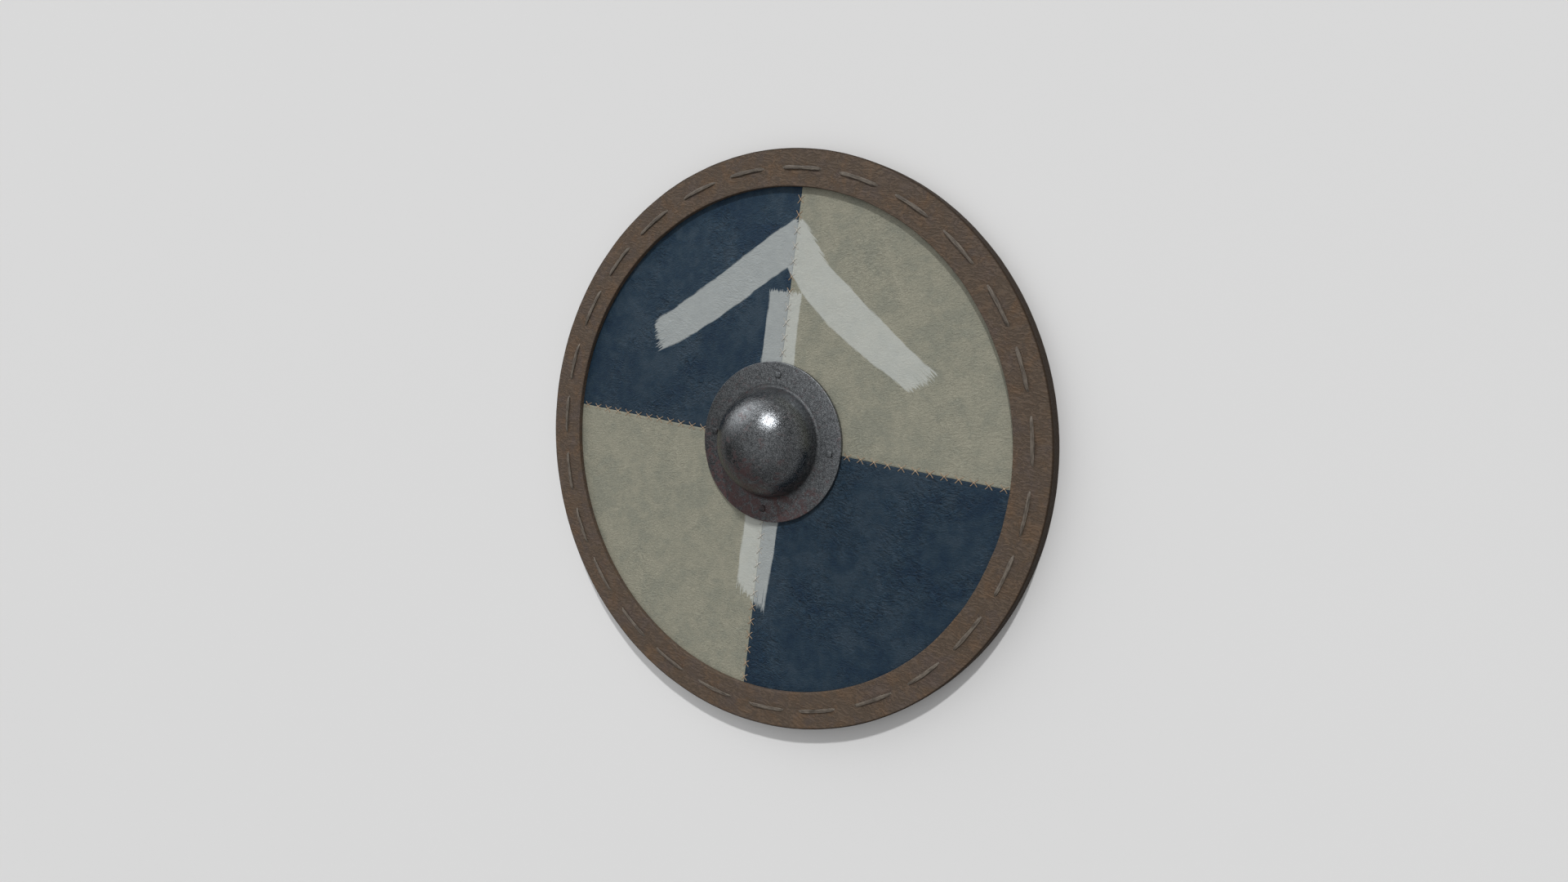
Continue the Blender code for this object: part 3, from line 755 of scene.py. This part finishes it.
def build_boss(finish, holes):
    """The raised iron boss: hammered dome and flange in one sheet, hollow behind."""
    turns = 224
    outer, inner, tops = boss_profile()
    profile = outer + inner
    radius, height, angle = revolved(profile, turns)
    even = placed(radius, angle, height)
    dents = wander(even, 75.0, 3) * 0.00012
    dents += wander(even, 190.0, 4) * 0.00005
    on_dome = gentle(height, FLANGE_FRONT + 0.004, FLANGE_FRONT + 0.012)
    on_flange = (height > FLANGE_FRONT - 0.00005) * 1.0
    radius = radius * (1 - on_dome * (np.abs(dents) / DOME))
    height = height - on_flange * (1 - on_dome) * np.abs(dents) * gentle(radius, DOME + 0.008, DOME + 0.012)
    edge_wave = gentle(radius, FLANGE - 0.002, FLANGE) * (wander(even, 30.0, 8) - 1)
    radius = radius + edge_wave * 0.0003
    verts = [*placed(radius, angle, height).reshape(-1, 3), *((0, 0, top) for top in tops)]
    faces = grid_faces(len(profile), turns, wrap_columns=True) + end_fans(len(profile), turns)
    mesh = bpy.data.meshes.new("iron_boss")
    mesh.from_pydata([tuple(v) for v in verts], [], faces)
    mesh.validate()
    return cut(new_object("iron_boss", reworked(mesh, face_outwards), finish, 40), holes)


def face_outwards(bm):
    """Turns a closed shell's faces round where its signed volume says they point in."""
    if bm.calc_volume(signed=True) < 0:
        bmesh.ops.reverse_faces(bm, faces=bm.faces)


class Recipe(Bench):
    """A tree of geometry nodes with named inputs, which ends in real geometry with its finish."""

    def __init__(self, name, **inputs):
        super().__init__(bpy.data.node_groups.new(name, "GeometryNodeTree"))
        made = self.tree.interface.new_socket
        made("Geometry", in_out="OUTPUT", socket_type="NodeSocketGeometry")
        made("Geometry", in_out="INPUT", socket_type="NodeSocketGeometry")
        for label, kind in {**inputs, "Finish": "Material"}.items():
            made(label, in_out="INPUT", socket_type=f"NodeSocket{kind}")
        self.start = self.node("NodeGroupInput")

    def given(self, label):
        return self.same_node(self.start, label)

    def closed_with(self, geometry):
        real = self.node("GeometryNodeRealizeInstances", {0: geometry})
        smooth = self.node("GeometryNodeSetShadeSmooth", {"Geometry": real})
        sockets = {"Geometry": smooth, "Material": self.given("Finish")}
        done = self.node("GeometryNodeSetMaterial", sockets)
        self.node("NodeGroupOutput", {0: done})
        return self.tree


def made_by(tree, name, start, inputs):
    """Runs a recipe on a mesh and keeps the result as a plain mesh."""
    obj = placed_object(name, start)
    modifier = obj.modifiers.new(name, "NODES")
    modifier.node_group = tree
    for item in tree.interface.items_tree:
        if item.in_out == "INPUT" and item.name in inputs:
            modifier[item.identifier] = inputs[item.name]
    mesh = baked(obj).data
    mesh.name = name
    mesh.materials.clear()
    mesh.materials.append(inputs["Finish"])
    return obj


def thong_recipe():
    """Carries a strip with rounded edges along the lacing's route, its wide side outwards."""
    tree = Recipe("thong along its route", Width="Float", Thickness="Float")
    route = tree.node("GeometryNodeMeshToCurve", {0: tree.given("Geometry")})
    place = tree.node("GeometryNodeInputPosition")
    outward = tree.node("ShaderNodeVectorMath", {0: place, 1: (1.0, 1.0, 0.0)}, operation="MULTIPLY")
    held = tree.node("GeometryNodeSetCurveNormal", {"Curve": route, "Normal": outward}, mode="FREE")
    sizes = {"Width": tree.given("Width"), "Height": tree.given("Thickness")}
    square = tree.node("GeometryNodeCurvePrimitiveQuadrilateral", sizes, mode="RECTANGLE")
    rounding = {"Curve": square, "Radius": tree.given("Thickness") * 0.36, "Count": 2}
    section = tree.node("GeometryNodeFilletCurve", rounding, mode="POLY")
    share = tree.node("GeometryNodeInputNamedAttribute", {"Name": "width"}, data_type="FLOAT")
    sockets = {"Curve": held, "Profile Curve": section, "Scale": share}
    return tree.closed_with(tree.node("GeometryNodeCurveToMesh", sockets))


def row_recipe():
    """Repeats the given mesh in a straight row, each a little turned and sized by hand."""
    inputs = {"Count": "Int", "Start": "Vector", "Step": "Vector", "Turn": "Float", "Wobble": "Float"}
    tree = Recipe("row of pieces", **inputs, Seed="Int")
    count, first, step, turn, lean, seed = map(tree.given, (*inputs, "Seed"))
    sockets = {"Count": count, "Start Location": first, "Offset": step}
    points = tree.node("GeometryNodeMeshLine", sockets, mode="OFFSET")

    def chance(middle, spread, draw):
        sockets = {2: middle - spread, 3: middle + spread, "Seed": draw}
        return tree.node("FunctionNodeRandomValue", sockets, out=1, data_type="FLOAT")

    turned, size = chance(turn, lean, seed), chance(1.0, lean * 0.5, seed + 1)
    sockets = {
        "Points": points,
        "Instance": tree.given("Geometry"),
        "Rotation": tree.vector(0.0, 0.0, turned),
        "Scale": tree.vector(size, size, 1.0),
    }
    return tree.closed_with(tree.node("GeometryNodeInstanceOnPoints", sockets))


def cross_recipe():
    """One cross stitch: two bowed legs of twisted thread, the second over the first."""
    tree = Recipe("cross stitch", Along="Float", Across="Float", Bow="Float", Thread="Float", Base="Float")
    along, across, bow, thread, base = map(tree.given, ("Along", "Across", "Bow", "Thread", "Base"))
    ply = tree.node("GeometryNodeCurvePrimitiveCircle", {"Resolution": 6, "Radius": thread})
    flat_ply = tree.node("GeometryNodeTransform", {"Geometry": ply, "Scale": (1.0, 0.62, 1.0)})
    strands = []
    for side, rise in ((1, 1.0), (-1, 1.75)):
        ends = {"Start": tree.vector(along * -side, across * -1), "End": tree.vector(along * side, across)}
        line = tree.node("GeometryNodeCurvePrimitiveLine", ends)
        fine = tree.node("GeometryNodeResampleCurve", {"Curve": line, "Count": 22})
        factor = tree.node("GeometryNodeSplineParameter", out="Factor")
        off = factor * 2 - 1
        lift = (1 - off * off * off * off) * bow * rise + base
        sway = factor.maths("SINE", factor * 7.0 + side) * 0.00050
        push = tree.vector(sway, 0.0, lift)
        bowed = tree.node("GeometryNodeSetPosition", {"Geometry": fine, "Offset": push})
        twist = tree.node("GeometryNodeSetCurveTilt", {"Curve": bowed, "Tilt": factor * 26.0})
        sockets = {"Curve": twist, "Profile Curve": flat_ply, "Fill Caps": True}
        strands.append(tree.node("GeometryNodeCurveToMesh", sockets))
    knot = tree.node("GeometryNodeMeshIcoSphere", {"Radius": thread * 1.9, "Subdivisions": 2})
    top = tree.vector(0.0, 0.0003, base + bow * 1.3)
    sockets = {"Geometry": knot, "Translation": top, "Scale": (1.3, 0.9, 0.7)}
    strands.append(tree.node("GeometryNodeTransform", sockets))
    crossed = tree.node("GeometryNodeJoinGeometry")
    for strand in strands:
        tree.tree.links.new(strand.socket, crossed.socket.node.inputs[0])
    return tree.closed_with(crossed)


def lacing_route():
    """Points and widths along the thong: up a slot, over the front, down, and along the back."""
    front = RIM_FRONT + THONG_THICKNESS / 2 - 0.0002
    back = GROOVE_DEPTH - THONG_THICKNESS / 2
    bend = 0.0020 / LACING_RADIUS
    points, widths = [], []
    stitches = lacing_stitches()
    for index, (middle, half) in enumerate(stitches):
        following, next_half = stitches[(index + 1) % STITCH_COUNT]
        if index == STITCH_COUNT - 1:
            following += 2 * math.pi
        first, last, ahead = middle - half, middle + half, following - next_half
        points += [(first, height) for height in np.linspace(back + 0.0022, front - 0.0022, 3)]
        points += [(first + bend * 0.28, front - 0.0017), (first + bend, front - 0.0012)]
        over = np.linspace(0.07, 0.93, 15)
        sunk = [0.0010 * (2 * abs(share - 0.5)) ** 6 for share in over]
        points += [(first + (last - first) * share, front - deep) for share, deep in zip(over, sunk)]
        points += [(last - bend, front - 0.0012), (last - bend * 0.28, front - 0.0017)]
        uneven = [0.94 + 0.09 * math.sin(index * 1.7 + share * 9) for share in over]
        widths += [0.5] * 5 + [wide - 0.42 * (2 * abs(s - 0.5)) ** 5 for wide, s in zip(uneven, over)]
        points += [(last, height) for height in np.linspace(front - 0.0022, back + 0.0022, 3)]
        points += [(last + bend * 0.28, back + 0.0008), (last + bend, back)]
        points += [(last + (ahead - last) * share, back) for share in (0.3, 0.5, 0.7)]
        points += [(ahead - bend, back), (ahead - bend * 0.28, back + 0.0008)]
        widths += [0.5] * 5 + [1.0] * 7
    return [(LACING_RADIUS * math.cos(a), LACING_RADIUS * math.sin(a), z) for a, z in points], widths


def polyline(name, points, widths=()):
    """A closed line; its widths, in shares of the full one, go with the points."""
    mesh = bpy.data.meshes.new(name)
    count = len(points)
    mesh.from_pydata(points, [(i, (i + 1) % count) for i in range(count)], [])
    if widths:
        mesh.attributes.new("width", "FLOAT", "POINT").data.foreach_set("value", widths)
    return mesh


def square_ring(half, height, sides, corner):
    """Points round a soft-cornered square; the higher the corner, the sharper its corners."""
    ring = []
    for step in range(sides):
        turn = 2 * math.pi * (step + 0.5) / sides
        reach = (abs(math.cos(turn)) ** corner + abs(math.sin(turn)) ** corner) ** (-1 / corner)
        ring.append((half * reach * math.cos(turn), half * reach * math.sin(turn), height))
    return ring


def square_lump(name, sections):
    """A soft-cornered square column from (half width, height) sections, lowest first."""
    sides = 24
    verts = [point for half, height in sections for point in square_ring(half, height, sides, 4.0)]
    verts += [(0, 0, sections[0][1]), (0, 0, sections[-1][1])]
    faces = grid_faces(len(sections), sides, wrap_columns=True) + end_fans(len(sections), sides)
    return mesh_of(name, verts, faces)


def head_sections(width, base, rise):
    """A forged head: straight edge, a soft shoulder, and a crown."""
    half = width / 2
    shares = ((0.97, 0.0), (1.0, 0.12), (1.0, 0.38), (0.93, 0.58), (0.72, 0.80), (0.46, 0.95), (0.2, 1.0))
    return [(half * wide, base + rise * up) for wide, up in shares]


def joined(name, objects):
    """Several plain objects as one piece."""

    def fill(bm):
        for obj in objects:
            bm.from_mesh(obj.data)

    mesh = reworked(bpy.data.meshes.new(name), fill)
    piece = new_object(name, mesh, objects[0].data.materials[0], 45)
    for obj in objects:
        bpy.data.objects.remove(obj)
    return piece


def row(tree, name, item, count, start, step, finish, turn=0.0, wobble=0.0, seed=1):
    sizes = {"Count": count, "Start": start, "Step": step, "Turn": turn, "Wobble": wobble, "Seed": seed}
    return made_by(tree, name, item, {**sizes, "Finish": finish})


def at_plates(tree, name, finish, item):
    """One kind of thing at all four plates; item makes its mesh for a plate's front height."""
    pairs = []
    for place, plate_front, start in PLATE_PAIRS:
        across, label = tuple(-2 * value for value in start), f"{name}_{place}"
        pairs.append(row(tree, label, item(label, plate_front), 2, start, across, finish))
    return joined(name, pairs)


def boss_nail(name, plate_front):
    """A nail with a low square head, riveted over the plate behind."""
    shank, back = NAIL_SHANK / 2, plate_front - PLATE_THICKNESS - PLAY
    riveted = head_sections(0.0066, back, -0.0008)[::-1]
    stem = [(shank, back), (shank, FLANGE_FRONT + PLAY)]
    return square_lump(name, riveted + stem + head_sections(0.0084, FLANGE_FRONT + PLAY, 0.0016))


def back_plate(name, front):
    """A square iron washer behind a board or the grip, with a square hole."""
    sides, ease = 28, 0.0003
    outside, hole, back = PLATE_HALF, NAIL_SHANK / 2 + PLAY, front - PLATE_THICKNESS
    sections = [(outside - ease, back), (outside, back + ease), (outside, front - ease)]
    sections += [(outside - ease, front), (hole, front), (hole, back)]
    verts = []
    for half, height in sections:
        verts += square_ring(half, height, sides, 9.0 if half > hole else 8.0)
    return mesh_of(name, verts, grid_faces(len(sections), sides, wrap_rows=True, wrap_columns=True))


def build_grip_nails(tree, finish):
    """Six short nails that hold the grip to the boards."""
    shank, head_front = GRIP_NAIL_HALF, GRIP_BACK - PLAY
    head = head_sections(0.0080, head_front, -0.0009)[::-1]
    point = [(shank, head_front), (shank, 0.0098), (shank / 2, 0.0128)]
    sides = []
    for side in (-1, 1):
        item = square_lump("grip_nail", head + point)
        start, step = (side * GRIP_NAIL_FIRST, 0.0, 0.0), (side * GRIP_NAIL_PITCH, 0.0, 0.0)
        sides.append(row(tree, f"grip_nails_{side + 2}", item, 3, start, step, finish))
    return joined("grip_nails", sides)


def build_cross_stitches(tree, finish):
    """The rows of cross stitches that close the upright and level seams."""
    sizes = {"Along": STITCH_ALONG, "Across": STITCH_ACROSS, "Bow": 0.0003, "Thread": 0.00062}
    sizes.update({"Base": FACING_FRONT - 0.0003, "Finish": finish})
    cross = cross_recipe()
    arms = (
        ("right", LEVEL_STITCHES, (1, 0), 0.0),
        ("left", LEVEL_STITCHES, (-1, 0), 0.0),
        ("top", TOP_STITCHES, (0, 1), math.pi / 2),
        ("bottom", BOTTOM_STITCHES, (0, -1), math.pi / 2),
    )
    rows = []
    for seed, (name, places, (x, y), turn) in enumerate(arms, start=1):
        item = made_by(cross, f"cross_{name}", polyline("none", []), sizes)
        first, pitch = places[0] * RADIUS, (places[1] - places[0]) * RADIUS
        start, step = (x * first, y * first, 0.0), (x * pitch, y * pitch, 0.0)
        mesh = item.data
        bpy.data.objects.remove(item)
        rows.append(row(tree, f"row_{name}", mesh, len(places), start, step, finish, turn, 0.10, seed))
    return joined("seam_stitches", rows)


def build_lacing(finish):
    """The single thong sewn round the rim."""
    sizes = {"Width": THONG_WIDTH, "Thickness": THONG_THICKNESS, "Finish": finish}
    return made_by(thong_recipe(), "rim_thong", polyline("thong_route", *lacing_route()), sizes)


def grip_sections():
    """(distance from the middle, half width, front height, roundness) along half of the grip."""
    landing = math.sqrt(HAND_HOLE**2 - GRIP_HALF_WIDTH**2) - 0.0006
    end = GRIP_HALF_LENGTH - GRIP_END
    keys = [
        (0.0, 0.0160, 0.0246, 0.0080),
        (0.0310, 0.0160, 0.0246, 0.0080),
        (0.0450, 0.0165, 0.0158, 0.0046),
        (landing, GRIP_HALF_WIDTH, GRIP_FRONT, 0.0014),
        (landing + 0.0170, GRIP_HALF_WIDTH, GRIP_FRONT, 0.0012),
        (end, GRIP_END, GRIP_FRONT, 0.0012),
    ]
    xs, *measures = np.array(keys).T
    rounded_end = end + GRIP_END * np.sin(np.linspace(0.12, 1.45, 10))
    stations = []
    for x in np.concatenate([np.linspace(0, end, 90), rounded_end]):
        wide, front, soft = (float(np.interp(x, xs, column)) for column in measures)
        if x > end:
            wide = GRIP_END * math.sqrt(max(1 - ((x - end) / GRIP_END) ** 2, 0.01))
        stations.append((float(x), wide, front, min(soft, (front - GRIP_BACK) / 2.2, wide / 2)))
    return stations


def build_grip(finish, cutters):
    """The wooden bar: rounded where the hand closes on it, flat on the boards beyond."""
    half = grip_sections()
    stations = [(-x, *rest) for x, *rest in reversed(half[1:])] + half
    rings = []
    for x, wide, high, soft in stations:
        low = GRIP_BACK
        ring = []
        for centre, start in (
            ((-wide + soft, low + soft), 180),
            ((wide - soft, low + soft), 270),
            ((wide - soft, high - soft), 0),
            ((-wide + soft, high - soft), 90),
        ):
            ring += [(x, y, z) for y, z in arc(centre, soft, start, start + 90, 5)]
        rings.append(ring)
    around = len(rings[0])
    verts = [point for ring in rings for point in ring]
    faces = grid_faces(len(rings), around, wrap_columns=True)
    faces.append(list(range(around))[::-1])
    faces.append([(len(rings) - 1) * around + step for step in range(around)])
    return cut(new_object("grip_bar", mesh_of("grip_bar", verts, faces), finish, 50), *cutters)


def aim(obj, place, towards, up):
    back = -Vector(towards).normalized()
    right = Vector(up).cross(back).normalized()
    turn = Matrix((right, back.cross(right), back)).transposed()
    obj.matrix_world = Matrix.Translation(place) @ turn.to_4x4()


def build_studio():
    """A plain pale floor, one low soft sun, and the sky."""

    def fill(bm):
        bmesh.ops.create_grid(bm, x_segments=1, y_segments=1, size=FLOOR_HALF)

    floor = reworked(bpy.data.meshes.new("studio_floor"), fill)
    new_object("studio_floor", floor, floor_finish())
    sun = bpy.data.lights.new("key_sun", "SUN")
    sun.energy = SUN_STRENGTH
    sun.angle = math.radians(SUN_SPREAD)
    aim(placed_object("key_sun", sun), (0, 2, 2), [-value for value in SUN_FROM], (0, 0, 1))
    build_sky()
    bpy.context.scene.view_settings.view_transform = "Standard"


def build_sky():
    world = bpy.data.worlds.new("studio_sky")
    world.use_nodes = True
    world.node_tree.nodes.clear()
    sky = Bench(world.node_tree)
    towards = sky.node("ShaderNodeTexCoord", out="Generated")
    sockets = {0: towards, 1: tuple(Vector(LAMP_FROM).normalized())}
    facing = sky.node("ShaderNodeVectorMath", sockets, out="Value", operation="DOT_PRODUCT")
    height = sky.node("ShaderNodeSeparateXYZ", {0: towards}, out="Z")
    rightward = sky.same_node(height, "X")
    glow = facing.most(0.0) ** LAMP_TIGHTNESS * LAMP_STRENGTH
    overhead = height.most(0.0) ** 2.0 * SKY_OVERHEAD
    strength = overhead + rightward * SKY_SIDE + SKY_LEVEL + glow
    light = sky.node("ShaderNodeBackground", {"Strength": strength})
    sky.node("ShaderNodeOutputWorld", {"Surface": light})
    bpy.context.scene.world = world


def build_camera():
    camera = bpy.data.cameras.new("camera")
    camera.sensor_width = 36.0
    camera.lens = EYE_LENS
    camera.clip_start = 0.02
    eye = placed_object("camera", camera)
    aim(eye, EYE_PLACE, EYE_AHEAD, EYE_UP)
    bpy.context.scene.camera = eye


def declare(piece, slot, *nodes):
    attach(piece, "root")
    if nodes:
        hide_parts(*nodes)
    return piece


def main():
    build_camera()
    build_studio()
    blue = leather(
        "blue_leather",
        light=(0.0240, 0.0428, 0.0635),
        middle=(0.0142, 0.0323, 0.0530),
        dark=(0.0080, 0.0236, 0.0455),
        patch_size=0.060,
        wrinkled=1.0,
        painted_sheen_to_top=0.75,
        tones=1.4,
        gloss=0.25,
    )
    cream = leather(
        "cream_leather",
        light=(0.286, 0.277, 0.216),
        middle=(0.263, 0.258, 0.202),
        dark=(0.235, 0.236, 0.188),
        patch_size=0.030,
        wrinkled=0.3,
        painted_sheen_to_top=0.0,
        tones=1.15,
        gloss=0.3,
    )
    iron = iron_finish("forged_iron")
    nail_iron = iron_finish("nail_iron", rusty=0.5, dull=0.46, bright=0.76)
    wood = wood_finish("bare_board_wood", (0.43, 0.30, 0.18), (0.20, 0.125, 0.07), "y", (-0.26, 0.12))
    ash = wood_finish("grip_ash_wood", (0.30, 0.185, 0.10), (0.15, 0.085, 0.045), "x")
    thong = thong_finish()
    thread = thread_finish()

    slots = columns("slot_cutter", slot_places(), 0.0030, 0.00145)
    holes = columns("nail_cutter", nail_places(), NAIL_SHANK / 2 + PLAY, NAIL_SHANK / 2 + PLAY)
    declare(build_rim(rim_finish()), "rim_leather", "rim_binding")
    declare(build_lacing(thong), "thong_leather", "rim_lacing")
    quarters = (
        ("upper_left", -1, 1, blue, "blue_leather", TOP_STITCHES),
        ("upper_right", 1, 1, cream, "cream_leather", TOP_STITCHES),
        ("lower_left", -1, -1, cream, "cream_leather", BOTTOM_STITCHES),
        ("lower_right", 1, -1, blue, "blue_leather", BOTTOM_STITCHES),
    )
    for name, side_x, side_y, finish, slot, stitches_up in quarters:
        piece = build_facing(f"leather_{name}", side_x, side_y, finish, stitches_up, (slots, holes))
        declare(piece, slot, f"facing_{name}")
    declare(build_boss(iron, holes), "forged_iron", "boss")

    repeat = row_recipe()
    declare(build_cross_stitches(repeat, thread), "seam_thread")
    for name, item in (("boss_nail", boss_nail), ("back_plate", back_plate)):
        piece = at_plates(repeat, f"{name}s", nail_iron, item)
        declare(piece, "nail_iron", *(f"{name}_{side}" for side in ("top", "right", "bottom", "left")))
    declare(build_grip_nails(repeat, nail_iron), "nail_iron", *(f"grip_nail_{n}" for n in range(1, 7)))

    seat, small = PLATE_HALF + PLAY, GRIP_NAIL_HALF + PLAY
    seats = columns("seat_cutter", [(NAIL_RADIUS, 0, 0), (-NAIL_RADIUS, 0, 0)], seat, seat)
    seats.data.transform(Matrix.Translation((0, 0, GRIP_PLATE_FRONT + PLAY - CUTTER_HEIGHT / 2)))
    reaches = [side * (GRIP_NAIL_FIRST + step * GRIP_NAIL_PITCH) for side in (-1, 1) for step in range(3)]
    bores = columns("grip_nail_cutter", [(reach, 0, 0) for reach in reaches], small, small)
    declare(build_grip(ash, (holes, seats, bores)), "grip_wood", "grip")
    for number in range(1, 7):
        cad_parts[f"plank_{number}"].data.materials.clear()
        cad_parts[f"plank_{number}"].data.materials.append(wood)
    for cutter in (slots, holes, seats, bores):
        bpy.data.objects.remove(cutter)


main()
